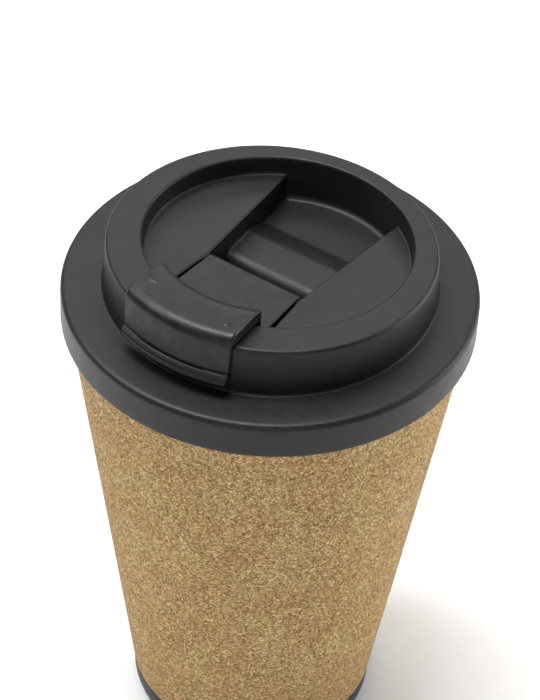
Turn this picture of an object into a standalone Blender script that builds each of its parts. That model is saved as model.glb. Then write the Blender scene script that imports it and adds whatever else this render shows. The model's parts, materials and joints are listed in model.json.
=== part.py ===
"""Travel cup: double-walled tapered cup in a cork sleeve, with a push-on lid and a flip tab.

Origin at the middle of the base, +Z up. The drinking side is at -Y, and the plane X = 0 is the
lid's plane of symmetry. The lid pulls straight up, turns on its seal, and its tab flips back
about a pin along X.
"""
import math

import bmesh
import bpy

MM = 0.001
GAP = 0.3 * MM                  # between pieces that touch

# Cup
SKIRT_Z = 120 * MM              # seam between cup and lid; heights on the lid start here
TAPER = 0.1386                  # gain of radius per height, shared by every wall of the cup
SLEEVE_R = 45.74 * MM           # outer radius of the sleeve at SKIRT_Z
SLEEVE_T = 2.6 * MM
SHELL_T = 1.5 * MM
AIR_GAP = 1.4 * MM
LINER_T = 0.6 * MM
SLEEVE_BOTTOM_Z = 6.5 * MM
LINER_FLOOR_Z = 12 * MM
COLLAR_R = 45.2 * MM
COLLAR_IN_R = 43.9 * MM
COLLAR_H = 6.5 * MM
LIP_Z = SKIRT_Z + 5.9 * MM      # top of the liner's lip
BASE_R = 30 * MM
PAD_R = 26 * MM
PAD_T = 1.1 * MM

# Lid
SKIRT_R = 47.5 * MM
SKIRT_T = 1.4 * MM
SKIRT_LAP = 0.4 * MM            # the skirt laps the sleeve's top edge by this much
FLANGE_H = 8.4 * MM             # flange top at the skirt, above SKIRT_Z
FLANGE_UNDER = 6.9 * MM
RING_R = 37.36 * MM             # raised ring at its top
RING_BASE_R = 37.9 * MM
RIM_H = 19.85 * MM              # ring top above SKIRT_Z, on the axis
LEAN = 0.0364                   # the ring's top rises this much per length towards the drinking side
LEAN_LOW = 9 * MM               # the lean starts here above SKIRT_Z and is whole at LEAN_FULL
LEAN_FULL = 15 * MM
MOUTH_R = 30.58 * MM            # recess in the ring
MOUTH_BOTTOM_R = 30.3 * MM
MOUTH_Y = 2.22 * MM             # the recess lies off the axis, away from the drinking side
SHOULDER_H = 15.05 * MM
CHANNEL_WALL = 1.6 * MM
CHANNEL_WAIST = 12.65 * MM      # half width where the pin is
CHANNEL_BACK = 15.4 * MM        # half width at the far end
CHANNEL_FRONT = 14.4 * MM       # half width at the drinking side
FLOOR_H = 6.7 * MM
FLOOR_RISE = 0.05               # the far floor rises this much per length towards the back
BLOCK_H = 9.3 * MM
LEDGE_H = 12.6 * MM
BLOCK_Y = (0.3 * MM, 11 * MM, 18 * MM)  # near wall, top of the slope, foot of the slope
LEDGE_Y = -13 * MM
TRAY_BOTTOM = 4.6 * MM
SLOT_R = (30.6 * MM, 35.2 * MM)
SLOT_HALF = 9 * MM
VENT_Y = -18 * MM
VENT_R = 2.1 * MM

# Plug and seal
PLUG_R = 37.3 * MM
PLUG_IN_R = 34.2 * MM
PLUG_BOTTOM = -8 * MM
PLUG_FLOOR_T = 1.6 * MM
GROOVE_R = 36 * MM
GROOVE = (-6.3 * MM, -2.4 * MM)

# Flip tab
PIN_Y = -7.7 * MM
PIN_Z = SKIRT_Z + 13.13 * MM
PIN_R = 1 * MM
PIN_CLEAR = 0.05 * MM
PIN_HALF = 14.9 * MM
BARREL_R = 2.2 * MM
BOSS_X = 16.4 * MM
ARM_T = 2.2 * MM
ARM_FAR = 12.15 * MM            # half widths of the arm
ARM_NEAR = 13.1 * MM
SADDLE_IN_R = 26.65 * MM
LEG_BACK_R = 27.75 * MM
SADDLE_TOP = 23.35 * MM
SADDLE_UNDER = 20.1 * MM
SADDLE_HALF = (13.1 * MM, 14.35 * MM)     # half widths at the leg and at the lip
WALL_TOP_R = 38.85 * MM
WALL_LOW_R = 39.45 * MM
WALL_IN_R = (37.75 * MM, 38.5 * MM)
LIP_R = 40.65 * MM
LIP_BOTTOM = 11.6 * MM
TAB_ROUND = 2.1 * MM
STOPPER_R = (30.0 * MM, 35.9 * MM)
STOPPER_HALF = 10.4 * MM
STOPPER_TOP = 21.6 * MM

STEPS = 60                      # segments of a full turn

for old in list(bpy.data.objects):
    bpy.data.objects.remove(old, do_unlink=True)


def collection(name):
    group = bpy.data.collections.new(name)
    bpy.context.scene.collection.children.link(group)
    return group


PARTS = collection("travel_cup")
CUTTERS = collection("cutters")


def material(name, color, roughness, metallic=0.0):
    mat = bpy.data.materials.new(name)
    mat.use_nodes = True
    shader = mat.node_tree.nodes["Principled BSDF"]
    shader.inputs["Base Color"].default_value = (*color, 1)
    shader.inputs["Roughness"].default_value = roughness
    shader.inputs["Metallic"].default_value = metallic
    return mat


def add(name, mesh, mat=None):
    """A part when it has a material, and otherwise a cutter."""
    piece = bpy.data.objects.new(name, mesh)
    (PARTS if mat else CUTTERS).objects.link(piece)
    if mat:
        piece.data.materials.append(mat)
    else:
        piece.hide_render = True
        piece.display_type = "WIRE"
    return piece


def smooth(piece):
    piece.data.shade_smooth()
    piece.data.set_sharp_from_angle(angle=math.radians(32))


def arc(center, radius, start, end, count=4):
    """Points on a circle in the profile plane, angles in degrees from the radial direction."""
    points = []
    for i in range(count + 1):
        angle = math.radians(start + (end - start) * i / count)
        points.append((center[0] + radius * math.cos(angle), center[1] + radius * math.sin(angle)))
    return points


def turned(name, profile, mat=None, closed=True, base=0.0, steps=STEPS, center_y=0.0):
    """Screw of (radius, height) points that run down the outer side. base is added to heights."""
    mesh = bpy.data.meshes.new(name)
    verts = [(r, 0, z + base) for r, z in profile]
    edges = [(i, i + 1) for i in range(len(verts) - 1)]
    if closed:
        edges.append((len(verts) - 1, 0))
    mesh.from_pydata(verts, edges, [])
    piece = add(name, mesh, mat)
    piece.location.y = center_y
    screw = piece.modifiers.new("Screw", "SCREW")
    screw.axis = "Z"
    screw.steps = steps
    screw.render_steps = steps
    screw.use_merge_vertices = True
    screw.merge_threshold = 0.00001
    return piece


def outline(name, points, axis, low, high, mat=None):
    """Prism of a flat outline: (x, y) points along Z, or (y, z) points along X."""
    curve = bpy.data.curves.new(name, "CURVE")
    curve.dimensions = "2D"
    curve.fill_mode = "BOTH"
    curve.extrude = (high - low) / 2
    spline = curve.splines.new("POLY")
    spline.points.add(len(points) - 1)
    for point, (u, v) in zip(spline.points, points):
        point.co = (u, v, 0, 1)
    spline.use_cyclic_u = True
    flat = bpy.data.objects.new(name + "_curve", curve)
    bpy.context.scene.collection.objects.link(flat)
    middle = (low + high) / 2
    if axis == "Z":
        flat.location.z = middle
    else:
        flat.rotation_euler = (math.pi / 2, 0, math.pi / 2)
        flat.location.x = middle
    bpy.context.view_layer.update()
    depsgraph = bpy.context.evaluated_depsgraph_get()
    mesh = bpy.data.meshes.new_from_object(flat.evaluated_get(depsgraph))
    work = bmesh.new()
    work.from_mesh(mesh)
    bmesh.ops.remove_doubles(work, verts=work.verts, dist=0.00001)
    bmesh.ops.transform(work, matrix=flat.matrix_world, verts=work.verts)
    bmesh.ops.recalc_face_normals(work, faces=work.faces)
    work.to_mesh(mesh)
    work.free()
    bpy.data.objects.remove(flat, do_unlink=True)
    mesh.materials.clear()
    return add(name, mesh, mat)


def block(name, low, high):
    work = bmesh.new()
    bmesh.ops.create_cube(work, size=1)
    for vert in work.verts:
        for i in range(3):
            vert.co[i] = low[i] if vert.co[i] < 0 else high[i]
    mesh = bpy.data.meshes.new(name)
    work.to_mesh(mesh)
    work.free()
    return add(name, mesh)


def rod(name, radius, half, mat=None, steps=24):
    """Cylinder about the tab's pin axis."""
    work = bmesh.new()
    bmesh.ops.create_cone(work, cap_ends=True, segments=steps, radius1=radius, radius2=radius, depth=2 * half)
    mesh = bpy.data.meshes.new(name)
    work.to_mesh(mesh)
    work.free()
    piece = add(name, mesh, mat)
    piece.rotation_euler.y = math.pi / 2
    piece.location = (0, PIN_Y, PIN_Z)
    return piece


def boolean(piece, operation, cutter):
    step = piece.modifiers.new(operation.title(), "BOOLEAN")
    step.operation = operation
    step.object = cutter
    step.solver = "EXACT"


def lean(piece):
    """Freeze the modifiers and tilt what stands above the flange towards the drinking side."""
    bpy.context.view_layer.update()
    depsgraph = bpy.context.evaluated_depsgraph_get()
    mesh = bpy.data.meshes.new_from_object(piece.evaluated_get(depsgraph))
    mesh.transform(piece.matrix_world)
    for vert in mesh.vertices:
        share = (vert.co.z - SKIRT_Z - LEAN_LOW) / (LEAN_FULL - LEAN_LOW)
        vert.co.z -= LEAN * vert.co.y * min(max(share, 0), 1)
    piece.modifiers.clear()
    piece.location = (0, 0, 0)
    piece.data = mesh


def cup_radius(at_skirt, z):
    """Radius of a tapered wall at height z, from its radius at SKIRT_Z."""
    return at_skirt + TAPER * (z - SKIRT_Z)


CORK = material("cork", (0.52, 0.34, 0.17), 0.85)
SHELL_PLASTIC = material("shell_plastic", (0.03, 0.03, 0.032), 0.5)
LID_PLASTIC = material("lid_plastic", (0.045, 0.045, 0.047), 0.55)
INSERT_PLASTIC = material("insert_plastic", (0.05, 0.05, 0.052), 0.5)
TAB_PLASTIC = material("tab_plastic", (0.042, 0.042, 0.044), 0.5)
BASE_PLASTIC = material("base_plastic", (0.035, 0.035, 0.037), 0.55)
STEEL = material("liner_steel", (0.6, 0.6, 0.6), 0.3, 1.0)
PIN_STEEL = material("pin_steel", (0.55, 0.55, 0.55), 0.25, 1.0)
FOOT_RUBBER = material("foot_rubber", (0.02, 0.02, 0.02), 0.8)
SEAL_SILICONE = material("seal_silicone", (0.62, 0.62, 0.6), 0.6)
GASKET_SILICONE = material("gasket_silicone", (0.6, 0.6, 0.58), 0.6)
STOPPER_SILICONE = material("stopper_silicone", (0.04, 0.04, 0.04), 0.65)
VENT_SILICONE = material("vent_silicone", (0.04, 0.04, 0.04), 0.65)

SHELL_R = SLEEVE_R - SLEEVE_T - 0.2 * MM
SHELL_IN_R = SHELL_R - SHELL_T
LINER_R = SHELL_IN_R - AIR_GAP
LINER_IN_R = LINER_R - LINER_T


def make_cork_sleeve():
    top = SKIRT_Z - GAP / 2
    bottom = SLEEVE_BOTTOM_Z
    profile = [(cup_radius(SLEEVE_R, top), top),
               (cup_radius(SLEEVE_R, bottom), bottom),
               (cup_radius(SLEEVE_R - SLEEVE_T, bottom), bottom),
               (cup_radius(SLEEVE_R - SLEEVE_T, top), top)]
    return turned("cork_sleeve", profile, CORK)


def make_outer_shell():
    """Plastic wall whose collar covers the sleeve's top edge and carries the liner's lip."""
    collar_bottom = SKIRT_Z + GAP / 2
    collar_top = SKIRT_Z + COLLAR_H
    ledge = SKIRT_Z + 4 * MM
    bottom = SLEEVE_BOTTOM_Z
    profile = [(COLLAR_R - 0.4 * MM, collar_top),
               (COLLAR_R, collar_top - 0.4 * MM),
               (COLLAR_R, collar_bottom),
               (cup_radius(SHELL_R, collar_bottom), collar_bottom),
               (cup_radius(SHELL_R, bottom), bottom),
               (cup_radius(SHELL_IN_R, bottom), bottom),
               (cup_radius(SHELL_IN_R, ledge), ledge),
               (COLLAR_IN_R, ledge),
               (COLLAR_IN_R, collar_top)]
    return turned("outer_shell", profile, SHELL_PLASTIC)


def make_inner_cup():
    """Drawn liner: a flat lip, a tapered wall and a rounded floor."""
    lip_r = COLLAR_IN_R - GAP
    under_lip = LIP_Z - LINER_T
    floor = LINER_FLOOR_Z
    knee = 4 * MM
    wall_in = cup_radius(LINER_IN_R, floor + knee)
    wall_out = cup_radius(LINER_R, floor + knee)
    outer_knee = arc((wall_out - knee, floor + knee - LINER_T), knee, 0, -90)
    inner_knee = arc((wall_in - knee, floor + knee), knee, -90, 0)
    profile = [(lip_r, LIP_Z), (lip_r, under_lip), (cup_radius(LINER_R, under_lip), under_lip)]
    profile += outer_knee
    profile += [(0, floor - LINER_T), (0, floor)]
    profile += inner_knee
    profile += [(cup_radius(LINER_IN_R, LIP_Z), LIP_Z)]
    return turned("inner_cup", profile, STEEL)


def make_liner_gasket():
    low = SKIRT_Z + 4 * MM + 0.15 * MM
    high = LIP_Z - LINER_T - 0.15 * MM
    inner = cup_radius(SHELL_IN_R, low) + 0.2 * MM
    outer = COLLAR_IN_R - GAP
    round_off = 0.25 * MM
    profile = [(inner + round_off, high), (outer - round_off, high), (outer, (low + high) / 2),
               (outer - round_off, low), (inner + round_off, low), (inner, (low + high) / 2)]
    return turned("liner_gasket", profile, GASKET_SILICONE)


def make_base_cap():
    """Cap with a spigot inside the shell and a shallow recess for the foot pad."""
    rim = SLEEVE_BOTTOM_Z - GAP
    spigot_r = cup_radius(SHELL_IN_R, rim) - 0.25 * MM
    spigot_top = rim + 3.5 * MM
    under = 0.8 * MM
    recess_r = PAD_R + 0.25 * MM
    profile = [(0, rim - 2.2 * MM), (spigot_r - 2 * MM, rim - 2.2 * MM), (spigot_r - 1.6 * MM, spigot_top),
               (spigot_r - 0.3 * MM, spigot_top), (spigot_r, spigot_top - 0.5 * MM), (spigot_r, rim),
               (cup_radius(SLEEVE_R, rim) - 0.1 * MM, rim)]
    profile += arc((BASE_R - 1.9 * MM, under + 1.6 * MM), 1.6 * MM, 0, -90)
    profile += [(recess_r, under), (recess_r, PAD_T + GAP), (0, PAD_T + GAP)]
    return turned("base_cap", profile, BASE_PLASTIC, closed=False)


def make_foot_pad():
    edge = 0.3 * MM
    profile = [(0, PAD_T), (PAD_R, PAD_T), (PAD_R, edge), (PAD_R - edge, 0), (0, 0)]
    return turned("foot_pad", profile, FOOT_RUBBER, closed=False)


def channel_half(y):
    """Half width of the channel in plan: narrowest at the pin, wider towards both ends."""
    if y >= PIN_Y:
        return CHANNEL_WAIST + (CHANNEL_BACK - CHANNEL_WAIST) * (y - PIN_Y) / (31 * MM - PIN_Y)
    return CHANNEL_WAIST + (CHANNEL_FRONT - CHANNEL_WAIST) * (PIN_Y - y) / (PIN_Y + 29 * MM)


def channel_plan(extra, front):
    """Plan outline of the channel, widened by extra, from y = front to beyond the far wall."""
    sides = [front, PIN_Y, 34 * MM]
    right = [(channel_half(y) + extra, y) for y in sides]
    return right + [(-x, y) for x, y in reversed(right)]


def mouth_cylinder(name, radius, low, high, bottom_radius=None):
    profile = [(0, high), (radius, high), (bottom_radius or radius, low), (0, low)]
    return turned(name, profile, closed=False, base=SKIRT_Z, center_y=MOUTH_Y)


def channel_cutter():
    """Room between the shoulders: the floor's side view, cut to the plan and to the round wall."""
    high = SHOULDER_H + 6 * MM
    near, slope_top, slope_foot = BLOCK_Y
    edge = 2 * MM
    rounded = arc((near + edge, BLOCK_H - edge), edge, 180, 90)
    floor = [(-29 * MM, LEDGE_H), (LEDGE_Y, LEDGE_H), (LEDGE_Y, FLOOR_H), (near, FLOOR_H)]
    floor += rounded
    back = 36 * MM
    floor += [(slope_top, BLOCK_H), (slope_foot, FLOOR_H), (back, FLOOR_H + FLOOR_RISE * (back - slope_foot)),
              (back, high), (-29 * MM, high)]
    cutter = outline("channel_side", [(y, z + SKIRT_Z) for y, z in floor], "X", -20 * MM, 20 * MM)
    plan = outline("channel_plan", channel_plan(0, -29 * MM), "Z", SKIRT_Z, SKIRT_Z + 30 * MM)
    wall = mouth_cylinder("channel_wall", MOUTH_BOTTOM_R - 0.1 * MM, 0, 30 * MM)
    boolean(cutter, "INTERSECT", plan)
    boolean(cutter, "INTERSECT", wall)
    return cutter


def shoulder_cutter():
    """Hollows under the two shoulders, which leave the channel walls and the pin bosses."""
    hollow = mouth_cylinder("shoulder_hollow", MOUTH_BOTTOM_R + 0.1 * MM, TRAY_BOTTOM - MM, 13.2 * MM)
    walls = outline("channel_walls", channel_plan(CHANNEL_WALL, -33 * MM), "Z", SKIRT_Z, SKIRT_Z + 30 * MM)
    boolean(hollow, "DIFFERENCE", walls)
    boss = block("pin_bosses", (-BOSS_X, PIN_Y - 3.4 * MM, SKIRT_Z + 9 * MM),
                 (BOSS_X, PIN_Y + 3.4 * MM, SKIRT_Z + 20 * MM))
    boolean(hollow, "DIFFERENCE", boss)
    return hollow


def drink_slot(name, low, high, radii, half):
    """Curved slot about the cup's axis at the drinking side."""
    inner, outer = radii
    slot = turned(name, [(inner, high), (outer, high), (outer, low), (inner, low)])
    ends = block(name + "_ends", (-half, -60 * MM, low - MM), (half, 0, high + MM))
    boolean(slot, "INTERSECT", ends)
    return slot


def make_lid_cover():
    ring_round = 0.8 * MM
    skirt_round = 1.3 * MM
    skirt_in = SKIRT_R - SKIRT_T
    edge = 0.2 * MM
    skirt_low = -SKIRT_LAP
    cavity_r = 35.5 * MM
    cavity_top = 17.9 * MM
    profile = [(0, RIM_H)]
    profile += arc((RING_R - ring_round, RIM_H - ring_round), ring_round, 90, 0)
    profile += [(RING_BASE_R, FLANGE_H + 1.6 * MM)]
    profile += arc((RING_BASE_R + 1.2 * MM, FLANGE_H + 1.6 * MM), 1.2 * MM, 180, 262, 3)
    profile += arc((SKIRT_R - skirt_round, FLANGE_H - skirt_round), skirt_round, 90, 0)
    profile += [(SKIRT_R, skirt_low + edge), (SKIRT_R - edge, skirt_low), (skirt_in + edge, skirt_low),
                (skirt_in, skirt_low + edge), (skirt_in, FLANGE_UNDER), (cavity_r, FLANGE_UNDER),
                (cavity_r, cavity_top), (0, cavity_top)]
    cover = turned("lid_cover", profile, LID_PLASTIC, closed=False, base=SKIRT_Z)
    tray = mouth_cylinder("tray", MOUTH_R + 1.6 * MM, TRAY_BOTTOM, cavity_top + MM)
    boolean(cover, "UNION", tray)
    mouth = mouth_cylinder("mouth", MOUTH_R, SHOULDER_H, RIM_H + MM, MOUTH_BOTTOM_R)
    boolean(cover, "DIFFERENCE", mouth)
    boolean(cover, "DIFFERENCE", channel_cutter())
    boolean(cover, "DIFFERENCE", shoulder_cutter())
    ledge_hollow = block("ledge_hollow", (-11.5 * MM, -26.5 * MM, SKIRT_Z),
                         (11.5 * MM, LEDGE_Y - 1.6 * MM, SKIRT_Z + LEDGE_H - 1.6 * MM))
    boolean(cover, "DIFFERENCE", ledge_hollow)
    slot = drink_slot("drink_slot", SKIRT_Z + 15 * MM, SKIRT_Z + 25 * MM, SLOT_R, SLOT_HALF)
    boolean(cover, "DIFFERENCE", slot)
    vent = turned("vent", [(0, 20 * MM), (VENT_R, 20 * MM), (VENT_R, 8 * MM), (0, 8 * MM)],
                  closed=False, base=SKIRT_Z, steps=20, center_y=VENT_Y)
    boolean(cover, "DIFFERENCE", vent)
    lean(cover)
    boolean(cover, "DIFFERENCE", rod("pin_hole", PIN_R + PIN_CLEAR, PIN_HALF + 0.2 * MM))
    return cover


def make_lid_insert():
    """Plug with the seal's groove outside and the drink window and vent in its floor."""
    top = FLANGE_UNDER - GAP
    low, high = GROOVE
    shelf = 2.5 * MM
    profile = [(PLUG_R, top), (PLUG_R, high), (GROOVE_R, high), (GROOVE_R, low), (PLUG_R - 0.4 * MM, low),
               (PLUG_R - 0.8 * MM, PLUG_BOTTOM + 0.5 * MM), (PLUG_R - 1.3 * MM, PLUG_BOTTOM), (0, PLUG_BOTTOM),
               (0, PLUG_BOTTOM + PLUG_FLOOR_T), (PLUG_IN_R, PLUG_BOTTOM + PLUG_FLOOR_T), (PLUG_IN_R, shelf),
               (PLUG_R - 1.6 * MM, shelf + 0.8 * MM), (PLUG_R - 1.6 * MM, top)]
    insert = turned("lid_insert", profile, INSERT_PLASTIC, base=SKIRT_Z)
    floor_low = SKIRT_Z + PLUG_BOTTOM - MM
    floor_high = SKIRT_Z + PLUG_BOTTOM + PLUG_FLOOR_T + MM
    window = drink_slot("drink_window", floor_low, floor_high, (25 * MM, 32.5 * MM), SLOT_HALF + MM)
    boolean(insert, "DIFFERENCE", window)
    vent = turned("insert_vent", [(0, floor_high), (VENT_R, floor_high), (VENT_R, floor_low), (0, floor_low)],
                  closed=False, steps=20, center_y=VENT_Y)
    boolean(insert, "DIFFERENCE", vent)
    return insert


def make_lid_seal():
    """Ring with two lips that meet the liner's tapered wall."""
    clear = 0.12 * MM
    low, high = GROOVE[0] + 0.2 * MM, GROOVE[1] - 0.2 * MM
    inner = GROOVE_R + 0.2 * MM
    upper_lip = high - 0.6 * MM
    lower_lip = low + 0.6 * MM
    waist = PLUG_R + 0.4 * MM

    def bore(height):
        return cup_radius(LINER_IN_R, SKIRT_Z + height) - clear

    profile = [(inner, high), (PLUG_R, high), (bore(upper_lip), upper_lip), (waist, (low + high) / 2),
               (bore(lower_lip), lower_lip), (PLUG_R, low), (inner, low)]
    return turned("lid_seal", profile, SEAL_SILICONE, base=SKIRT_Z)


def saddle_profile():
    """Section of the saddle: rounded top, flared outer wall with a grip lip, short inner leg."""
    top_r = WALL_TOP_R - TAB_ROUND
    groove = LIP_BOTTOM + 2.2 * MM
    points = [(SADDLE_IN_R + 0.4 * MM, SADDLE_TOP)]
    points += arc((top_r, SADDLE_TOP - TAB_ROUND), TAB_ROUND, 90, 0, 5)
    points += [(WALL_LOW_R, groove), (WALL_LOW_R - 0.3 * MM, groove - 0.25 * MM),
               (WALL_LOW_R + 0.35 * MM, groove - 0.5 * MM), (WALL_LOW_R + 0.45 * MM, LIP_BOTTOM + 1.1 * MM),
               (LIP_R, LIP_BOTTOM + 0.4 * MM), (LIP_R, LIP_BOTTOM), (WALL_IN_R[1] + 0.4 * MM, LIP_BOTTOM),
               (WALL_IN_R[1], LIP_BOTTOM + 0.4 * MM), (WALL_IN_R[0], SADDLE_UNDER - 0.5 * MM),
               (WALL_IN_R[0], SADDLE_UNDER), (LEG_BACK_R, SADDLE_UNDER), (LEG_BACK_R, SHOULDER_H - ARM_T),
               (SADDLE_IN_R, SHOULDER_H - ARM_T), (SADDLE_IN_R, SADDLE_TOP - 0.4 * MM)]
    return points


def make_flip_tab():
    """Arm from the pin to the ring, with a saddle that hooks over the ring's drinking side."""
    tab = turned("flip_tab", saddle_profile(), TAB_PLASTIC, base=SKIRT_Z, steps=96)
    near, far = SADDLE_HALF
    ends = outline("saddle_ends", [(-near, -22 * MM), (-far, -42 * MM), (far, -42 * MM), (near, -22 * MM)],
                   "Z", SKIRT_Z + 5 * MM, SKIRT_Z + 30 * MM)
    boolean(tab, "INTERSECT", ends)
    arm_low = SKIRT_Z + SHOULDER_H - ARM_T
    middle_r = (SADDLE_IN_R + LEG_BACK_R) / 2
    spread = math.degrees(math.asin(ARM_NEAR / middle_r))
    arm_plan = arc((0, 0), middle_r, -90 - spread, -90 + spread, 8)
    arm_plan += [(ARM_FAR, PIN_Y), (-ARM_FAR, PIN_Y)]
    arm = outline("arm", arm_plan, "Z", arm_low, SKIRT_Z + SHOULDER_H)
    boolean(tab, "UNION", arm)
    recess = drink_slot("stopper_pocket", SKIRT_Z + 19 * MM, SKIRT_Z + STOPPER_TOP + 0.15 * MM,
                        (STOPPER_R[0] - 0.15 * MM, STOPPER_R[1] + 0.15 * MM), STOPPER_HALF + 0.15 * MM)
    boolean(tab, "DIFFERENCE", recess)
    lean(tab)
    boolean(tab, "UNION", rod("barrel", BARREL_R, ARM_FAR - 0.01 * MM, steps=32))
    boolean(tab, "DIFFERENCE", rod("barrel_hole", PIN_R + PIN_CLEAR, 20 * MM))
    return tab


def make_tab_seal():
    """Pad in the saddle's pocket with a raised plug that enters the drinking hole."""
    seal = drink_slot("tab_seal", SKIRT_Z + RIM_H + 0.2 * MM, SKIRT_Z + STOPPER_TOP, STOPPER_R, STOPPER_HALF)
    CUTTERS.objects.unlink(seal)
    PARTS.objects.link(seal)
    seal.hide_render = False
    seal.display_type = "TEXTURED"
    seal.data.materials.append(STOPPER_SILICONE)
    plug_r = (SLOT_R[0] + 0.9 * MM, SLOT_R[1] - 0.7 * MM)
    plug = drink_slot("stopper_plug", SKIRT_Z + RIM_H - 0.8 * MM, SKIRT_Z + RIM_H + MM, plug_r,
                      SLOT_HALF - MM)
    boolean(seal, "UNION", plug)
    lean(seal)
    return seal


def make_vent_stopper():
    """Nub under the arm that closes the vent in the ledge."""
    under_arm = SHOULDER_H - ARM_T
    radius = VENT_R - 0.6 * MM
    profile = [(0, under_arm - 0.05 * MM), (radius + 0.2 * MM, under_arm - 0.05 * MM),
               (radius, under_arm - 0.6 * MM), (radius - 0.5 * MM, under_arm - 1.3 * MM),
               (0, under_arm - 1.3 * MM)]
    stopper = turned("vent_stopper", profile, VENT_SILICONE, closed=False, base=SKIRT_Z, steps=20,
                     center_y=VENT_Y)
    lean(stopper)
    return stopper


def make_all():
    pieces = [make_cork_sleeve(), make_outer_shell(), make_inner_cup(), make_liner_gasket(), make_base_cap(),
              make_foot_pad(), make_lid_cover(), make_lid_insert(), make_lid_seal(), make_flip_tab(),
              rod("hinge_pin", PIN_R, PIN_HALF, PIN_STEEL), make_tab_seal(), make_vent_stopper()]
    for piece in pieces:
        smooth(piece)


make_all()
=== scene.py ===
"""Looks of the travel cup: moulded lid and flip tab, cork sleeve, drawn liner, seals and base.

Lengths are in millimetres until a mesh is made. Heights on the lid are measured from the seam
between cup and lid, and the drinking side is at -Y, as in the frame.
"""

import json
import math

import bpy
import numpy as np
from mathutils import Matrix, Vector, noise


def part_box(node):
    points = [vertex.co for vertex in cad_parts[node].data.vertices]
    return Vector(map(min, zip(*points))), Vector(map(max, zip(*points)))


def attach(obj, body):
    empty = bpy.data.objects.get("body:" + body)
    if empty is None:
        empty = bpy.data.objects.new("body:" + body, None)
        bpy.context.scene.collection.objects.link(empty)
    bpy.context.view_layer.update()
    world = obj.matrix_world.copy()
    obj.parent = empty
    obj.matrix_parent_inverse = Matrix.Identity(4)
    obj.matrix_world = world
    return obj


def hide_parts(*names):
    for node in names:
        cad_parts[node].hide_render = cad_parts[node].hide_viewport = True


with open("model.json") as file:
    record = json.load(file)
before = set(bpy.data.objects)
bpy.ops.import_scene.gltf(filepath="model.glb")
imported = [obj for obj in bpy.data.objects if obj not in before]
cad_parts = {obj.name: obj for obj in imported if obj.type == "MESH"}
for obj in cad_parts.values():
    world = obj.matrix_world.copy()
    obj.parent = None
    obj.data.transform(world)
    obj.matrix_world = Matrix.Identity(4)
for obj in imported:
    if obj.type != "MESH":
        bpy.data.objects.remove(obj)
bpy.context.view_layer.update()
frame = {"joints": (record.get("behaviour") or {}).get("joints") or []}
JOINTS = {joint["name"]: joint for joint in frame["joints"]}

MM = 0.001


def size(node):
    """Lowest and highest corner of a CAD node in millimetres."""
    low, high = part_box(node)
    return low / MM, high / MM


# Driving dimensions from the frame
SEAM_Z = JOINTS["lid_turn"]["pos_m"][2] / MM
PIN_Y = JOINTS["tab_flip"]["pos_m"][1] / MM
PIN_H = JOINTS["tab_flip"]["pos_m"][2] / MM - SEAM_Z
SKIRT_R = size("lid_cover")[1].x
SKIRT_LOW = size("lid_cover")[0].z - SEAM_Z
BARREL_R = size("flip_tab")[1].y - PIN_Y
LIP_R = -size("flip_tab")[0].y
PIN_R = size("hinge_pin")[1].z - PIN_H - SEAM_Z
PIN_HALF = size("hinge_pin")[1].x

# Lid cover
SKIRT_IN_R = SKIRT_R - 1.4
FLANGE_H = 8.4
FLANGE_UNDER = 6.9
FLANGE_EDGE = 1.3
FLANGE_SLOPE = 0.05             # the flange rises towards the ring
RING_R = 37.36
RING_TAPER = 0.06
RIM_H = 19.85
RIM_EDGE = 0.8
LEAN = 0.0364                   # rise of the ring's top towards the drinking side, per length
LEAN_FROM, LEAN_FULL = 9, 15
CAVITY_R, CAVITY_TOP = 35.5, 17.9
MOUTH_Y = 2.22                  # the recess lies off the axis
MOUTH_R = 30.3
MOUTH_TAPER = 0.058
MOUTH_EDGE = 0.55
SHOULDER_H, SHOULDER_T = 15.05, 1.85
DISH, DISH_X, DISH_HALF_X, DISH_HALF_Y = 0.5, 20.5, 8, 20    # hollow in each shoulder
TRAY_R, TRAY_LOW = 32.18, 4.6
WAIST, BACK_HALF, FRONT_HALF = 12.65, 15.4, 14.4    # half widths of the channel
BACK_Y, FRONT_Y = 31, -29
CHANNEL_WALL, CHANNEL_EDGE = 1.6, 0.5
FLOOR_H, BLOCK_H, LEDGE_H = 6.7, 9.3, 12.6
FLOOR_RISE = 0.05               # the far floor rises towards the back
BLOCK_Y, SLOPE_Y, SLOPE_FOOT_Y, LEDGE_Y = 0.3, 11, 18, -13
BLOCK_ROUND, LEDGE_ROUND = 3.2, 0.6
UNDER_LEDGE_HALF, UNDER_LEDGE_Y = 11.5, -26.5
BOSS_X, BOSS_HALF, BOSS_LOW = 16.4, 3.4, 9
WASHER_X, WASHER_R = 12.25, 1.9    # raised faces beside the barrel, round the pin
PIN_GAP = 0.05
SLOT_IN_R, SLOT_OUT_R, SLOT_HALF, SLOT_CORNER = 30.6, 35.2, 9, 1.6
VENT_Y, VENT_R = -18, 2.1
FINE = 0.25                     # the lid's smallest edges and fillets

# Flip tab
SADDLE_IN_R, LEG_BACK_R = 26.65, 27.75
SADDLE_TOP, SADDLE_UNDER = 23.35, 20.1
INNER_SLOPE, INNER_SLOPE_W = 0.4, 1.9       # fall of the saddle's top along its inner edge
WALL_R, WALL_FLARE, WALL_IN_R = 38.8, 0.06, 37.75
TAB_ROUND, TAB_END_ROUND = 2.7, 0.5
LIP_LOW = 11.6
LIP_HOLLOW_R = 1.27
GROOVE_H, GROOVE_ROUND = 13.8, 0.32         # groove between the wall and the lip
TAB_HALF, TAB_SPREAD, TAB_Y = 13.1, 0.0625, -22    # half width at TAB_Y and its gain towards the lip
NUB_X, NUB_Y, NUB_R = 10.1, -32.4, 0.75
DASH_X, DASH_Y, DASH_HALF, DASH_R = -10.6, -30.6, 0.9, 0.3
ARM_T, ARM_FAR, ARM_SPREAD, ARM_EDGE = 2.2, 12.15, 0.049, 0.35
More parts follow.
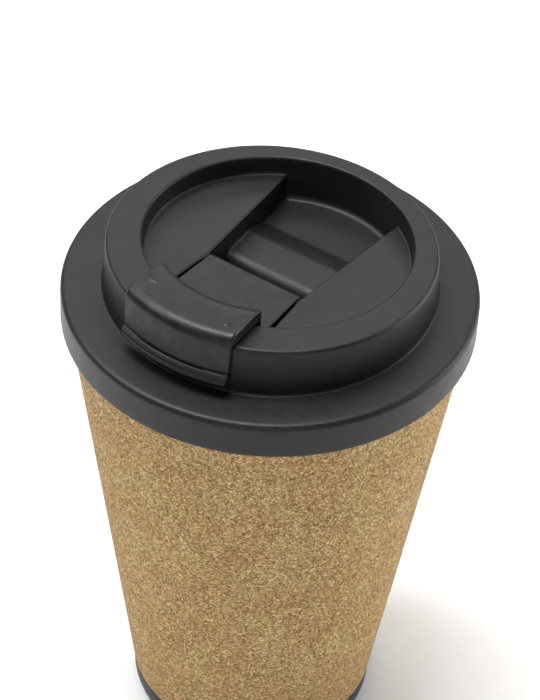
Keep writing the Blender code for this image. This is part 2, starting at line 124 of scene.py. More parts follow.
PAD_IN_R, PAD_OUT_R, PAD_HALF, PAD_TOP = 30.0, 35.9, 10.4, 21.6
PAD_GAP = 0.15

# Lid insert
PLUG_R, PLUG_IN_R = size("lid_insert")[1].x, 34.2
PLUG_LOW = size("lid_insert")[0].z - SEAM_Z
PLUG_TOP = size("lid_insert")[1].z - SEAM_Z
PLUG_FLOOR_T = 1.6
PLUG_STEP, PLUG_STEP_H, PLUG_STEP_RUN = 1.5, 2.5, 0.8    # the chamber widens near its top
GROOVE_R, GROOVE = 36, (-6.3, -2.4)
WINDOW_IN_R, WINDOW_OUT_R = 25, 32.5


# Fields: distance in millimetres to a surface, negative inside the material

def round_union(a, b, radius):
    """Both solids, with a fillet of that radius where they meet."""
    corner = np.hypot(np.maximum(radius - a, 0), np.maximum(radius - b, 0))
    return np.maximum(radius, np.minimum(a, b)) - corner


def round_overlap(a, b, radius):
    """What both solids share, with its edge rounded to that radius."""
    corner = np.hypot(np.maximum(radius + a, 0), np.maximum(radius + b, 0))
    return np.minimum(-radius, np.maximum(a, b)) + corner


def round_cut(a, b, radius):
    return round_overlap(a, -b, radius)


def between(value, low, high):
    return np.maximum(low - value, value - high)


def upright(y, z):
    """Height above the seam before the lid's top was leaned towards the drinking side."""
    h = z - SEAM_Z
    for _ in range(3):
        share = np.clip((h - LEAN_FROM) / (LEAN_FULL - LEAN_FROM), 0, 1)
        h = z - SEAM_Z + LEAN * y * share
    return h


def channel_half(y):
    back = WAIST + (BACK_HALF - WAIST) * (y - PIN_Y) / (BACK_Y - PIN_Y)
    front = WAIST + (FRONT_HALF - WAIST) * (PIN_Y - y) / (PIN_Y - FRONT_Y)
    return np.maximum(back, front)


def channel_floor(y, h):
    """Vent ledge, trough under the barrel, middle block with its slope, and the far floor."""
    slope = (BLOCK_H - FLOOR_H) / (SLOPE_FOOT_Y - SLOPE_Y)
    ramp = (h - BLOCK_H + (y - SLOPE_Y) * slope) / math.hypot(1, slope)
    middle = round_overlap(round_overlap(h - BLOCK_H, ramp, FINE), BLOCK_Y - y, BLOCK_ROUND)
    ledge = round_overlap(h - LEDGE_H, y - LEDGE_Y, LEDGE_ROUND)
    ground = h - FLOOR_H - FLOOR_RISE * np.maximum(y - SLOPE_FOOT_Y, 0)
    ground = round_union(ground, middle, FINE)
    return round_union(ground, ledge, 0.8)


def lid_cover_field(x, y, z):
    h = upright(y, z)
    r = np.hypot(x, y)
    from_mouth = np.hypot(x, y - MOUTH_Y)
    from_pin = np.hypot(y - PIN_Y, z - SEAM_Z - PIN_H)
    across = np.abs(x)

    flange_top = FLANGE_H + FLANGE_SLOPE * (SKIRT_R - FLANGE_EDGE - r)
    disc = round_overlap(r - SKIRT_R, h - flange_top, FLANGE_EDGE)
    disc = round_overlap(disc, SKIRT_LOW - h, FINE)
    ring = round_overlap(r - RING_R - RING_TAPER * (RIM_H - h), h - RIM_H, RIM_EDGE)
    solid = round_union(disc, ring, FINE)
    under = round_overlap(r - SKIRT_IN_R, h - FLANGE_UNDER, 0.5)
    solid = round_cut(solid, under, FINE)
    solid = np.maximum(solid, -np.maximum(r - CAVITY_R, h - CAVITY_TOP))
    tray = np.maximum(from_mouth - TRAY_R, between(h, TRAY_LOW, CAVITY_TOP + 1))
    solid = np.minimum(solid, tray)

    wall = from_mouth - MOUTH_R - MOUTH_TAPER * np.maximum(h - SHOULDER_H, -2)
    share = 1 - ((across - DISH_X) / DISH_HALF_X) ** 2 - (y / DISH_HALF_Y) ** 2
    dished = SHOULDER_H - DISH * np.clip(share, 0, 1)
    side = across - channel_half(y)
    channel = round_overlap(side, -channel_floor(y, h), CHANNEL_EDGE)
    opening = round_union(dished - h, channel, CHANNEL_EDGE)
    recess = round_overlap(wall, opening, FINE + np.clip(-side, 0, 1))
    solid = round_cut(solid, recess, MOUTH_EDGE)

    boss = np.maximum(np.maximum(across - BOSS_X, np.abs(y - PIN_Y) - BOSS_HALF), BOSS_LOW - h)
    hollow = np.maximum(from_mouth - MOUTH_R, np.maximum(h - SHOULDER_H + SHOULDER_T, CHANNEL_WALL - side))
    solid = np.maximum(solid, -np.maximum(hollow, -boss))
    under_ledge = np.maximum(across - UNDER_LEDGE_HALF, between(y, UNDER_LEDGE_Y, LEDGE_Y - CHANNEL_WALL))
    solid = np.maximum(solid, -np.maximum(under_ledge, h - LEDGE_H + CHANNEL_WALL))

    slot = round_overlap(between(r, SLOT_IN_R, SLOT_OUT_R), across - SLOT_HALF, SLOT_CORNER)
    slot = np.maximum(np.maximum(slot, y), CAVITY_TOP - 3 - h)
    solid = round_cut(solid, slot, 0.35)
    vent = np.hypot(x, y - VENT_Y) - VENT_R
    solid = round_cut(solid, np.maximum(vent, h - SHOULDER_H), 0.3)
    pin = np.maximum(from_pin - PIN_R - PIN_GAP, across - PIN_HALF - 0.2)
    washer = np.maximum(from_pin - WASHER_R, WASHER_X - across)
    washer = np.maximum(washer, across - WAIST - 0.5)
    return np.maximum(np.minimum(solid, washer), -pin)


def flip_tab_field(x, y, z):
    h = upright(y, z)
    r = np.hypot(x, y)
    across = np.abs(x)
    outer = r - WALL_R - WALL_FLARE * (SADDLE_TOP - h)
    top = round_overlap(outer, h - SADDLE_TOP, TAB_ROUND)
    inner_slope = (h - SADDLE_TOP + INNER_SLOPE * (SADDLE_IN_R + INNER_SLOPE_W - r)) * 0.93
    top = round_overlap(round_overlap(top, inner_slope, 0.5), SADDLE_IN_R - r, 0.4)
    slab = np.maximum(top, SADDLE_UNDER - h)
    wall = np.maximum(top, WALL_IN_R + 0.08 * (SADDLE_UNDER - h) - r)
    wall = round_overlap(wall, GROOVE_H - 0.3 - h, 0.1)
    lip = round_overlap(between(r, WALL_IN_R + 0.75, LIP_R), between(h, LIP_LOW, GROOVE_H - 0.35), 0.3)
    hollow_r, hollow_h = LIP_R + 0.47, LIP_LOW + 1.81
    lip = round_cut(lip, np.hypot(r - hollow_r, h - hollow_h) - LIP_HOLLOW_R, 0.12)
    wall = np.minimum(wall, lip)
    groove = np.hypot(r - WALL_R - 0.75, h - GROOVE_H + 0.05) - GROOVE_ROUND
    wall = round_cut(wall, groove, 0.08)
    leg = np.maximum(between(r, SADDLE_IN_R, LEG_BACK_R), between(h, SHOULDER_H - ARM_T, SADDLE_TOP - 1))
    saddle = np.minimum(np.minimum(slab, wall), leg)
    saddle = np.maximum(saddle, y)
    end = across - TAB_HALF - TAB_SPREAD * (TAB_Y - y)
    saddle = round_overlap(saddle, end, TAB_END_ROUND)

    nub = np.hypot(np.hypot(x - NUB_X, y - NUB_Y), (h - SADDLE_TOP) * 1.3) - NUB_R
    saddle = round_union(saddle, nub, 0.15)
    past_dash = np.maximum(np.abs(x - DASH_X) - DASH_HALF, 0)
    dash = np.hypot(past_dash, np.hypot(y - DASH_Y, h - SADDLE_TOP + 0.1)) - DASH_R
    saddle = round_union(saddle, dash, 0.08)

    arm_end = across - ARM_FAR - ARM_SPREAD * (PIN_Y - y)
    arm = round_overlap(between(h, SHOULDER_H - ARM_T, SHOULDER_H), arm_end, ARM_EDGE)
    arm = np.maximum(arm, np.maximum(y - PIN_Y, r - LEG_BACK_R + 0.4))
    pocket = np.maximum(between(r, PAD_IN_R - PAD_GAP, PAD_OUT_R + PAD_GAP), across - PAD_HALF - PAD_GAP)
    saddle = np.maximum(saddle, -np.maximum(pocket, h - PAD_TOP - PAD_GAP))
    from_pin = np.hypot(y - PIN_Y, z - SEAM_Z - PIN_H)
    barrel = round_overlap(from_pin - BARREL_R, across - ARM_FAR, ARM_EDGE)
    tab = round_union(np.minimum(arm, barrel), saddle, 0.5)
    return np.maximum(tab, PIN_R + PIN_GAP - from_pin)


def lid_insert_field(x, y, z):
    h = z - SEAM_Z
    r = np.hypot(x, y)
    body = round_overlap(r - PLUG_R, between(h, PLUG_LOW, PLUG_TOP), 0.5)
    wider = PLUG_STEP * np.clip((h - PLUG_STEP_H) / PLUG_STEP_RUN, 0, 1)
    chamber = round_overlap(r - PLUG_IN_R - wider, PLUG_LOW + PLUG_FLOOR_T - h, 1)
    groove = np.maximum(GROOVE_R - r, between(h, *GROOVE))
    body = round_cut(round_cut(body, chamber, 0.3), groove, 0.15)
    past_floor = h - PLUG_LOW - 3
    window = round_overlap(between(r, WINDOW_IN_R, WINDOW_OUT_R), np.abs(x) - SLOT_HALF - 1, 1.5)
    body = round_cut(body, np.maximum(np.maximum(window, y), past_floor), 0.3)
    vent = np.maximum(np.hypot(x, y - VENT_Y) - VENT_R, past_floor)
    return round_cut(body, vent, 0.3)


def tab_seal_field(x, y, z):
    h = upright(y, z)
    r = np.hypot(x, y)
    across = np.abs(x)
    pad = round_overlap(between(r, PAD_IN_R, PAD_OUT_R), across - PAD_HALF, 0.8)
    pad = round_overlap(np.maximum(pad, y), between(h, RIM_H + 0.2, PAD_TOP), 0.25)
    plug = round_overlap(between(r, SLOT_IN_R + 0.9, SLOT_OUT_R - 0.7), across - SLOT_HALF + 1, 1.2)
    plug = round_overlap(np.maximum(plug, y), between(h, RIM_H - 0.8, RIM_H + 1), 0.3)
    return round_union(pad, plug, 0.3)


# Meshes

def slopes(field, points, step):
    """Gradient of a field at many points."""
    result = np.empty_like(points)
    for axis in range(3):
        offset = np.zeros(3)
        offset[axis] = step
        ahead = field(*(points + offset).T)
        behind = field(*(points - offset).T)
        result[:, axis] = (ahead - behind) / (2 * step)
    return result


def settle(field, points, step, limit):
    """Moves points along the gradient onto the surface."""
    value = field(*points.T)
    gradient = slopes(field, points, step)
    length2 = np.maximum((gradient ** 2).sum(1), 0.05)
    move = -(value / length2)[:, None] * gradient
    far = np.maximum(np.linalg.norm(move, axis=1) / limit, 1)
    return points + move / far[:, None]


def net(field, low, high, cell):
    """Closed quad mesh of the surface where a field is zero: one vertex in each cell it crosses."""
    axes = [np.arange(low[i] - 1.5 * cell, high[i] + 2.5 * cell, cell) for i in range(3)]
    values = field(axes[0][:, None, None], axes[1][None, :, None], axes[2][None, None, :])
    inside = values < 0
    count = sum(inside[i:i + inside.shape[0] - 1, j:j + inside.shape[1] - 1, k:k + inside.shape[2] - 1]
                .astype(np.int8) for i in (0, 1) for j in (0, 1) for k in (0, 1))
    crossed = (count > 0) & (count < 8)
    index = np.full(crossed.shape, -1)
    index[crossed] = np.arange(crossed.sum())
    cells = np.argwhere(crossed)
    points = np.stack([axes[i][cells[:, i]] + cell / 2 for i in range(3)], 1)

    quads = []
    for axis in range(3):
        u, v = (axis + 1) % 3, (axis + 2) % 3
        here = np.take(inside, range(inside.shape[axis] - 1), axis)
        ahead = np.take(inside, range(1, inside.shape[axis]), axis)
        for start in (True, False):
            edges = np.argwhere((here == start) & (ahead != start))
            ring = []
            for du, dv in ((1, 1), (0, 1), (0, 0), (1, 0)):
                around = edges.copy()
                around[:, u] -= du
                around[:, v] -= dv
                ring.append(index[tuple(around.T)])
            quads.append(np.stack(ring if start else ring[::-1], 1))
    quads = np.concatenate(quads)

    ends = np.concatenate([quads[:, [i, (i + 1) % 4]] for i in range(4)])
    ends = np.concatenate([ends, ends[:, ::-1]])
    degree = np.bincount(ends[:, 0], minlength=len(points))[:, None]
    for turn in range(6):
        points = settle(field, points, 0.02, cell / 2)
        if turn < 4:            # the first rounds also even out the spacing
            middle = np.stack([np.bincount(ends[:, 0], points[ends[:, 1], i], len(points))
                               for i in range(3)], 1)
            points = points + 0.5 * (middle / degree - points)
    return points, quads


def add_piece(name, mesh, body, node, mat):
    piece = bpy.data.objects.new(name, mesh)
    bpy.context.scene.collection.objects.link(piece)
    mesh.materials.append(mat)
    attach(piece, body)
    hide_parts(node)
    return piece


def moulded(name, field, cell, body, node, mat, keep=1.0):
    """A piece from its field, inside its CAD box. keep is the share of triangles left by the thinning."""
    low, high = size(node)
    points, quads = net(field, low, high, cell)
    points = np.clip(points, np.array(low), np.array(high))
    mesh = bpy.data.meshes.new(name)
    mesh.from_pydata(points * MM, [], quads.tolist())
    mesh.shade_smooth()
    piece = add_piece(name, mesh, body, node, mat)
    if keep < 1:
        thin = piece.modifiers.new("Decimate", "DECIMATE")
        thin.ratio = keep
    return piece


def rounded(corners, steps=6):
    """Closed profile from (radius, height, rounding) corners, each rounded to an arc."""
    points = []
    for i, (r, z, radius) in enumerate(corners):
        here = Vector((r, z))
        before = Vector(corners[i - 1][:2]) - here
        after = Vector(corners[(i + 1) % len(corners)][:2]) - here
        if radius == 0 or min(before.length, after.length) < 1e-6:
            points.append((r, z))
            continue
        before.normalize()
        after.normalize()
        half = before.angle(after) / 2
        reach = radius / math.tan(half)
        center = here + (before + after).normalized() * (radius / math.sin(half))
        first = here + before * reach - center
        last = here + after * reach - center
        turn = first.angle_signed(last)
        for k in range(steps + 1):
            arm = Matrix.Rotation(-turn * k / steps, 2) @ first
            points.append(tuple(center + arm))
    return points


def lathe(piece, axis, steps):
    """Turns a piece's profile about one of its own axes."""
    screw = piece.modifiers.new("Screw", "SCREW")
    screw.axis = axis
    screw.steps = steps
    screw.render_steps = steps
    screw.use_merge_vertices = True
    screw.merge_threshold = 0.000001


def turned(name, corners, body, node, mat, steps=192, steps_round=6):
    """A piece turned about the cup's axis from the corners of its profile."""
    profile = rounded(corners, steps_round)
    mesh = bpy.data.meshes.new(name)
    verts = [(r * MM, 0, z * MM) for r, z in profile]
    count = len(verts)
    on_axis = [r < 1e-6 for r, z in profile]
    edges = [(i, (i + 1) % count) for i in range(count) if not (on_axis[i] and on_axis[(i + 1) % count])]
    mesh.from_pydata(verts, edges, [])
    piece = add_piece(name, mesh, body, node, mat)
    lathe(piece, "Z", steps)
    return piece


# Cup walls, as in the frame: every wall has the sleeve's taper
SLEEVE_LOW, SLEEVE_HIGH = size("cork_sleeve")
SLEEVE_TOP_R = SLEEVE_HIGH.x
TAPER = 0.1386
SLEEVE_T = 2.6
SHELL_R = SLEEVE_TOP_R - SLEEVE_T - 0.2
SHELL_T = 1.5
LINER_R = SHELL_R - SHELL_T - 1.4
LINER_T = 0.6
COLLAR_R = size("outer_shell")[1].x
COLLAR_IN_R = COLLAR_R - 1.3
LINER_LOW, LINER_HIGH = size("inner_cup")
BASE_R = 30


def cup_radius(at_top, z):
    """Radius at height z of a tapered wall that has the given radius at the sleeve's top."""
    return at_top + TAPER * (z - SLEEVE_HIGH.z)


# Materials

def tree(name):
    mat = bpy.data.materials.new(name)
    mat.use_nodes = True
    return mat, mat.node_tree, mat.node_tree.nodes["Principled BSDF"]


def node(nodes, kind, **inputs):
    made = nodes.nodes.new("ShaderNode" + kind)
    for key, value in inputs.items():
        made.inputs[key.replace("_", " ")].default_value = value
    return made


def ramp(nodes, factor, stops):
    """Colour ramp of (position, colour) stops, driven by a socket."""
    made = nodes.nodes.new("ShaderNodeValToRGB")
    elements = made.color_ramp.elements
    while len(elements) < len(stops):
        elements.new(0.5)
    for element, (position, color) in zip(elements, stops):
        element.position = position
        element.color = (*color, 1)
    nodes.links.new(factor, made.inputs["Fac"])
    return made.outputs["Color"]


def grey(value):
    return (value, value, value)


def place(nodes, scale=(1, 1, 1)):
    """Position on the object in metres. A small scale draws the pattern out along that axis."""
    here = nodes.nodes.new("ShaderNodeTexCoord")
    mapping = nodes.nodes.new("ShaderNodeMapping")
    mapping.inputs["Scale"].default_value = scale
    nodes.links.new(here.outputs["Object"], mapping.inputs["Vector"])
    return mapping.outputs["Vector"]


def clouds(nodes, where, feature, detail=2.0, roughness=0.5):
    """Noise with features of a given size in millimetres."""
    made = node(nodes, "TexNoise", Scale=1 / (feature * MM), Detail=detail, Roughness=roughness)
    nodes.links.new(where, made.inputs["Vector"])
    return made.outputs["Fac"]


def relief(nodes, height, depth, strength=1.0, under=None):
    """Bump of a given depth in millimetres, on top of another one."""
    made = node(nodes, "Bump", Strength=strength, Distance=depth * MM)
    nodes.links.new(height, made.inputs["Height"])
    if under:
        nodes.links.new(under, made.inputs["Normal"])
    return made.outputs["Normal"]


def plastic(name, dark, light, rough, grain=0.3, depth=0.05, blotch=9.0, specular=0.3,
            waves=0.03, mottle=0.05):
    """Moulded plastic: faint cloudy tone, uneven gloss, spark-eroded grain and a soft waviness."""
    mat, nodes, shader = tree(name)
    where = place(nodes)
    tone = clouds(nodes, where, blotch, 4, 0.6)
    nodes.links.new(ramp(nodes, tone, [(0.3, dark), (0.7, light)]), shader.inputs["Base Color"])
    gloss = clouds(nodes, where, 3.0, 5, 0.65)
    spread = ramp(nodes, gloss, [(0.3, grey(rough - mottle)), (0.7, grey(rough + mottle))])
    nodes.links.new(spread, shader.inputs["Roughness"])
    fine = relief(nodes, clouds(nodes, where, grain, 3, 0.6), depth)
    wavy = relief(nodes, clouds(nodes, where, 6.0, 2), waves, 1.0, fine)
    nodes.links.new(wavy, shader.inputs["Normal"])
    shader.inputs["Specular IOR Level"].default_value = specular
    return mat


def cork():
    """Pressed granules under 1 mm in mixed browns, with dark specks, pale flecks, pits and painted shade in
    small pores.
    """
    mat, nodes, shader = tree("cork")
    where = place(nodes)
    bend = node(nodes, "TexNoise", Scale=1 / (0.5 * MM), Detail=3)
    nodes.links.new(where, bend.inputs["Vector"])
    shift = nodes.nodes.new("ShaderNodeVectorMath")
    shift.operation = "MULTIPLY_ADD"
    shift.inputs[1].default_value = (0.35 * MM,) * 3
    nodes.links.new(bend.outputs["Color"], shift.inputs[0])
    nodes.links.new(where, shift.inputs[2])
    bent = shift.outputs["Vector"]

    def granules(feature):
        made = node(nodes, "TexVoronoi", Scale=1 / (feature * MM))
        nodes.links.new(bent, made.inputs["Vector"])
        split = nodes.nodes.new("ShaderNodeSeparateColor")
        nodes.links.new(made.outputs["Color"], split.inputs["Color"])
        return split.outputs["Red"], split.outputs["Green"], made.outputs["Distance"]

    def mixed(a, b, factor, blend="MIX"):
        made = nodes.nodes.new("ShaderNodeMix")
        made.data_type = "RGBA"
        made.blend_type = blend
        if isinstance(factor, float):
            made.inputs[0].default_value = factor
        else:
            nodes.links.new(factor, made.inputs[0])
        nodes.links.new(a, made.inputs[6])
        nodes.links.new(b, made.inputs[7])
        return made.outputs[2]

    big, speck, big_distance = granules(0.8)
    small, fleck, small_distance = granules(0.36)
    coarse = ramp(nodes, big, [(0.0, (0.27, 0.155, 0.055)), (0.3, (0.38, 0.24, 0.1)),
                               (0.7, (0.47, 0.305, 0.135)), (1.0, (0.58, 0.405, 0.2))])
    fine = ramp(nodes, small, [(0.0, (0.09, 0.045, 0.015)), (0.2, (0.27, 0.165, 0.06)),
                               (0.65, (0.52, 0.335, 0.15)), (1.0, (0.95, 0.72, 0.42))])
    color = mixed(coarse, fine, 0.65)
    drift = ramp(nodes, clouds(nodes, where, 11, 3), [(0.35, (0.96, 0.9, 0.86)), (0.65, (1.0, 1.04, 1.02))])
    color = mixed(color, drift, 1.0, "MULTIPLY")
    stain = ramp(nodes, clouds(nodes, where, 0.22, 4, 0.8), [(0.35, grey(0.34)), (0.6, grey(1.35))])
    color = mixed(color, stain, 0.85, "MULTIPLY")
    # Painted shade: a few small granules darkened to half, standing in for the shade inside pores
    painted_pore_shade = ramp(nodes, fleck, [(0.04, grey(0.5)), (0.1, grey(1.03))])
    color = mixed(color, painted_pore_shade, 1.0, "MULTIPLY")
    nodes.links.new(color, shader.inputs["Base Color"])
    rough = ramp(nodes, speck, [(0.0, grey(0.8)), (1.0, grey(0.98))])
    nodes.links.new(rough, shader.inputs["Roughness"])
    pits = relief(nodes, clouds(nodes, where, 0.3, 4, 0.7), 0.12)
    grain = relief(nodes, small_distance, 0.1, 0.7, pits)
    nodes.links.new(relief(nodes, big_distance, 0.1, 0.5, grain), shader.inputs["Normal"])
    shader.inputs["Specular IOR Level"].default_value = 0.2
    return mat


STEEL = (0.56, 0.56, 0.57)


def steel(name, scale, rough):
    """Metal with fine scratches that run along the axes of small scale."""
    mat, nodes, shader = tree(name)
    lines = clouds(nodes, place(nodes, scale), 0.25, 5, 0.7)
    broad = clouds(nodes, place(nodes), 12, 3)
    pale = tuple(1.12 * c for c in STEEL)
    nodes.links.new(ramp(nodes, broad, [(0.3, STEEL), (0.7, pale)]), shader.inputs["Base Color"])
    spread = ramp(nodes, lines, [(0.3, grey(rough - 0.08)), (0.7, grey(rough + 0.12))])
    nodes.links.new(spread, shader.inputs["Roughness"])
    nodes.links.new(relief(nodes, lines, 0.01), shader.inputs["Normal"])
    shader.inputs["Metallic"].default_value = 1
    return mat


def silicone(name, dark, light, rough, glow=0.0):
    """Soft rubbery skin with a dusty bloom; glow is how far light enters it."""
    mat, nodes, shader = tree(name)
    where = place(nodes)
    tone = clouds(nodes, where, 5, 4, 0.6)
    nodes.links.new(ramp(nodes, tone, [(0.3, dark), (0.7, light)]), shader.inputs["Base Color"])
    bloom = clouds(nodes, where, 1.2, 4)
    spread = ramp(nodes, bloom, [(0.3, grey(rough - 0.08)), (0.7, grey(rough + 0.08))])
    nodes.links.new(spread, shader.inputs["Roughness"])
    nodes.links.new(relief(nodes, clouds(nodes, where, 0.3, 3), 0.012), shader.inputs["Normal"])
    if glow:
        shader.inputs["Subsurface Weight"].default_value = glow
        shader.inputs["Subsurface Radius"].default_value = (2 * MM, 2 * MM, 2 * MM)
    return mat


# Lid
SMALL_STEPS = 48                # sides of the small turned pieces
LID_PLASTIC = plastic("lid_plastic", grey(0.008), grey(0.011), 0.42)
TAB_PLASTIC = plastic("tab_plastic", grey(0.003), grey(0.012), 0.4, grain=0.35, depth=0.015,
                      blotch=4.0, specular=0.33, waves=0.01, mottle=0.11)
moulded("lid_cover_moulding", lid_cover_field, 0.4, "lid", "lid_cover", LID_PLASTIC, 0.45)
moulded("flip_tab_moulding", flip_tab_field, 0.22, "tab", "flip_tab", TAB_PLASTIC)
moulded("lid_insert_moulding", lid_insert_field, 0.5, "lid", "lid_insert",
        plastic("insert_plastic", grey(0.04), grey(0.048), 0.45), 0.5)
STOPPER_SILICONE = silicone("stopper_silicone", grey(0.025), grey(0.035), 0.65)
moulded("tab_seal_pad", tab_seal_field, 0.3, "tab", "tab_seal", STOPPER_SILICONE)


def vent_stopper():
    low, high = size("vent_stopper")
    radius = high.x
    tip = radius - 0.7
    piece = turned("vent_stopper_nub",
                   [(0, high.z, 0), (radius, high.z, 0.1), (radius, high.z - 0.5, 0.15),
                    (tip, low.z, 0.3), (0, low.z, 0)],
                   "tab", "vent_stopper", STOPPER_SILICONE, SMALL_STEPS)
    piece.location.y = (low.y + high.y) / 2 * MM


def hinge_pin():
    """Drawn wire with chamfered ends, turned about X."""
    mesh = bpy.data.meshes.new("hinge_pin_rod")
    half, radius, edge = PIN_HALF * MM, PIN_R * MM, 0.2 * MM
    profile = [(-half, 0), (-half, radius - edge), (-half + edge, radius),
               (half - edge, radius), (half, radius - edge), (half, 0)]
    mesh.from_pydata([(x, 0, r) for x, r in profile], [(i, i + 1) for i in range(5)], [])
    piece = add_piece("hinge_pin_rod", mesh, "lid", "hinge_pin",
                      steel("pin_steel", (0.05, 1, 1), 0.28))
    piece.location = (0, PIN_Y * MM, (SEAM_Z + PIN_H) * MM)
    lathe(piece, "X", SMALL_STEPS)


def lid_seal():
    low, high = size("lid_seal")
    inner = GROOVE_R + 0.2
    waist = PLUG_R + 0.4
    middle = (low.z + high.z) / 2
    lip = high.x
    lower_lip = lip - TAPER * (high.z - low.z - 1.2)
    turned("lid_seal_ring",
           [(inner, high.z, 0.3), (PLUG_R, high.z, 0.4), (lip, high.z - 0.6, 0.18), (waist, middle, 0.3),
            (lower_lip, low.z + 0.6, 0.18), (PLUG_R, low.z, 0.4), (inner, low.z, 0.3)],
           "seal", "lid_seal",
           silicone("seal_silicone", grey(0.52), (0.64, 0.64, 0.62), 0.5, 0.3))


# Cup

def cork_sleeve():
    """Tapered tube whose outer face is sunk along the granules' borders and in scattered pits."""
    around, rows, edge = 460, 185, 0.5
    granule, border_depth, pit_depth = 1.3, 0.04, 0.3
    low, high = SLEEVE_LOW.z, SLEEVE_HIGH.z
    profile = rounded([(cup_radius(SLEEVE_TOP_R - SLEEVE_T, low), low, edge),
                       (cup_radius(SLEEVE_TOP_R, low), low, edge),
                       (SLEEVE_TOP_R, high, edge),
                       (SLEEVE_TOP_R - SLEEVE_T, high, edge)], 3)
    split = 8
    lower, upper = profile[:split], profile[split:]
    wall = [tuple(np.array(lower[-1]) + (np.array(upper[0]) - np.array(lower[-1])) * i / rows)
            for i in range(1, rows)]
    profile = lower + wall + upper
    verts = []
    for i, (r, z) in enumerate(profile):
        for k in range(around):
            angle = 2 * math.pi * (k + 0.5 * (i % 2)) / around
            sunk = 0
            if split <= i < split + len(wall):
                spot = Vector((r * math.cos(angle), r * math.sin(angle), z))
                near, next_near = noise.voronoi(spot / granule)[0][:2]
                border = max(0, 1 - (next_near - near) / 0.25)
                pit = max(0, noise.noise(spot) - 0.35)
                sunk = border_depth * border + pit_depth * pit
            verts.append(((r - sunk) * math.cos(angle) * MM, (r - sunk) * math.sin(angle) * MM, z * MM))
    faces = []
    count = len(profile)
    for i in range(count):
        for k in range(around):
            a, b = i * around, (i + 1) % count * around
            faces.append((a + k, a + (k + 1) % around, b + (k + 1) % around, b + k))
    mesh = bpy.data.meshes.new("cork_sleeve_granules")
    mesh.from_pydata(verts, [], faces)
    mesh.shade_smooth()
    add_piece("cork_sleeve_granules", mesh, "cup", "cork_sleeve", cork())


def outer_shell():
    low, high = size("outer_shell")
    seam = SEAM_Z + 0.15
    ledge = SEAM_Z + 4
    inner = SHELL_R - SHELL_T
    turned("outer_shell_wall",
           [(COLLAR_IN_R, high.z, 0.3), (COLLAR_R, high.z, 0.6), (COLLAR_R, seam, 0.3),
            (cup_radius(SHELL_R, seam), seam, 0), (cup_radius(SHELL_R, low.z), low.z, 0.3),
            (cup_radius(inner, low.z), low.z, 0.3), (cup_radius(inner, ledge), ledge, 0.2),
            (COLLAR_IN_R, ledge, 0)],
           "cup", "outer_shell", plastic("shell_plastic", grey(0.026), grey(0.032), 0.45))


def inner_cup():
    lip_r, lip_z = LINER_HIGH.x, LINER_HIGH.z
    floor = LINER_LOW.z + LINER_T
    knee = 4
    inner = LINER_R - LINER_T
    turned("inner_cup_liner",
           [(0, floor, 0), (cup_radius(inner, floor), floor, knee),
            (cup_radius(inner, lip_z), lip_z, 0.5), (lip_r, lip_z, 0.25), (lip_r, lip_z - LINER_T, 0.25),
            (cup_radius(LINER_R, lip_z - LINER_T), lip_z - LINER_T, 0.3),
            (cup_radius(LINER_R, LINER_LOW.z), LINER_LOW.z, knee + LINER_T), (0, LINER_LOW.z, 0)][::-1],
           "cup", "inner_cup", steel("liner_steel", (0.04, 0.04, 1), 0.3), steps_round=10)


def liner_gasket():
    low, high = size("liner_gasket")
    outer = high.x
    inner = cup_radius(SHELL_R - SHELL_T, low.z) + 0.2
    turned("liner_gasket_ring",
           [(inner, high.z, 0.3), (outer, high.z, 0.3), (outer, low.z, 0.3), (inner, low.z, 0.3)],
           "cup", "liner_gasket",
           silicone("gasket_silicone", grey(0.5), (0.62, 0.62, 0.6), 0.55, 0.3))


def base_cap():
    low, high = size("base_cap")
    rim = SLEEVE_LOW.z - 0.3
    spigot = cup_radius(SHELL_R - SHELL_T, rim) - 0.25
    pad_r = size("foot_pad")[1].x + 0.25
    ceiling = size("foot_pad")[1].z + 0.3
    turned("base_cap_moulding",
           [(0, rim - 2.2, 0), (spigot - 2, rim - 2.2, 0.4), (spigot - 1.6, high.z, 0.3),
            (spigot, high.z, 0.4), (spigot, rim, 0.2), (high.x, rim, 0.4),
            (BASE_R - 0.3, low.z, 1.6), (pad_r, low.z, 0.25), (pad_r, ceiling, 0.1), (0, ceiling, 0)],
           "cup", "base_cap", plastic("base_plastic", grey(0.028), grey(0.034), 0.5))


def foot_pad():
    """Rubber disc with three concentric grooves."""
    low, high = size("foot_pad")
    corners = [(0, high.z, 0), (high.x, high.z, 0.15), (high.x, low.z, 0.35)]
    for middle in (22, 16, 10):
        corners += [(middle + 0.9, low.z, 0.15), (middle + 0.5, low.z + 0.4, 0.15),
                    (middle - 0.5, low.z + 0.4, 0.15), (middle - 0.9, low.z, 0.15)]
    corners += [(0, low.z, 0)]
    turned("foot_pad_disc", corners, "cup", "foot_pad",
           silicone("foot_rubber", grey(0.018), grey(0.024), 0.8))


vent_stopper()
hinge_pin()
lid_seal()
cork_sleeve()
outer_shell()
inner_cup()
liner_gasket()
base_cap()
foot_pad()


# Camera, floor and light

CAMERA_AZIMUTH = math.radians(32.58)


def around(azimuth, elevation):
    """Unit vector at an azimuth counted from the camera's, both angles in degrees."""
    turn = math.radians(azimuth) + CAMERA_AZIMUTH
    rise = math.radians(elevation)
    return Vector((math.sin(turn) * math.cos(rise), -math.cos(turn) * math.cos(rise), math.sin(rise)))


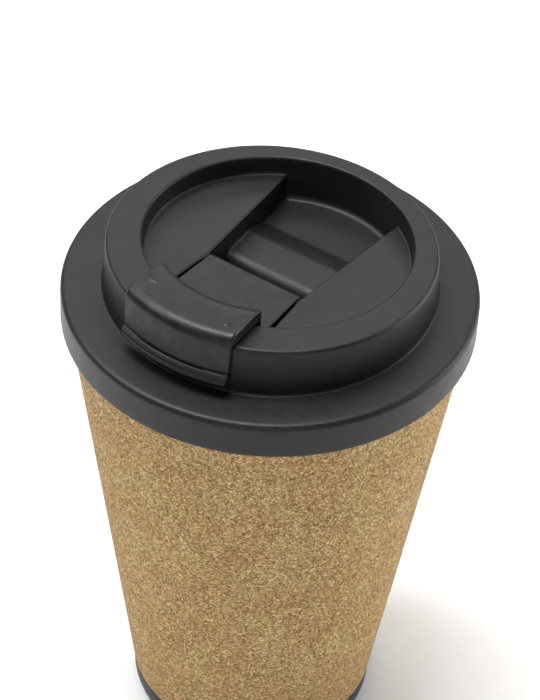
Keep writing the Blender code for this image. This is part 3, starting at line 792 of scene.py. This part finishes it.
def camera():
    elevation, roll = 42.17, math.radians(3.05)
    distance = 639.3
    target = Vector((0.54, 0.35, SEAM_Z - 12.2))
    back = around(0, elevation)
    made = bpy.data.objects.new("camera", bpy.data.cameras.new("camera"))
    bpy.context.scene.collection.objects.link(made)
    made.data.lens = 142.4
    made.data.sensor_width = 36
    made.location = (target + back * distance) * MM
    made.rotation_mode = "QUATERNION"
    level = (-back).to_track_quat("-Z", "Y")
    made.rotation_quaternion = level @ Matrix.Rotation(roll, 4, "Z").to_quaternion()
    bpy.context.scene.camera = made


def softbox(name, spot, toward, width, depth, power):
    light = bpy.data.lights.new(name, "AREA")
    light.shape = "RECTANGLE"
    light.size = width
    light.size_y = depth
    light.energy = power
    made = bpy.data.objects.new(name, light)
    bpy.context.scene.collection.objects.link(made)
    made.location = spot
    made.rotation_euler = (Vector(toward) - Vector(spot)).to_track_quat("-Z", "Y").to_euler()


SOFTBOXES = (
    # name, azimuth, elevation, distance from the lid, width and depth in metres, watts
    ("key", -109, 79, 1.1, 0.4, 0.65, 14),
    ("back_screen", 180, 56, 1.2, 1.4, 0.4, 4.6),
    ("back_low", 180, 27, 1.2, 1.6, 0.3, 4.2),
    ("front", 0, 20, 1.2, 1.2, 0.4, 2.6),
    ("right_side", 105, 12, 1, 0.5, 0.9, 6.8),
    ("left_side", -95, 45, 1.1, 0.5, 0.5, 5),
)


def studio():
    world = bpy.data.worlds.new("studio")
    bpy.context.scene.world = world
    world.use_nodes = True
    background = world.node_tree.nodes["Background"]
    background.inputs["Color"].default_value = (*grey(0.08), 1)
    lid = Vector((0, 0, SEAM_Z * MM))
    for name, azimuth, elevation, distance, width, depth, power in SOFTBOXES:
        softbox(name, lid + around(azimuth, elevation) * distance, lid, width, depth, power)
    bpy.context.scene.view_settings.view_transform = "Standard"


def paper_floor():
    mesh = bpy.data.meshes.new("floor")
    reach = 5
    mesh.from_pydata([(-reach, -reach, 0), (reach, -reach, 0), (reach, reach, 0), (-reach, reach, 0)],
                     [], [(0, 1, 2, 3)])
    floor = bpy.data.objects.new("floor", mesh)
    bpy.context.scene.collection.objects.link(floor)
    mesh.materials.append(silicone("floor_paper", grey(0.91), grey(0.93), 0.8))


camera()
studio()
paper_floor()
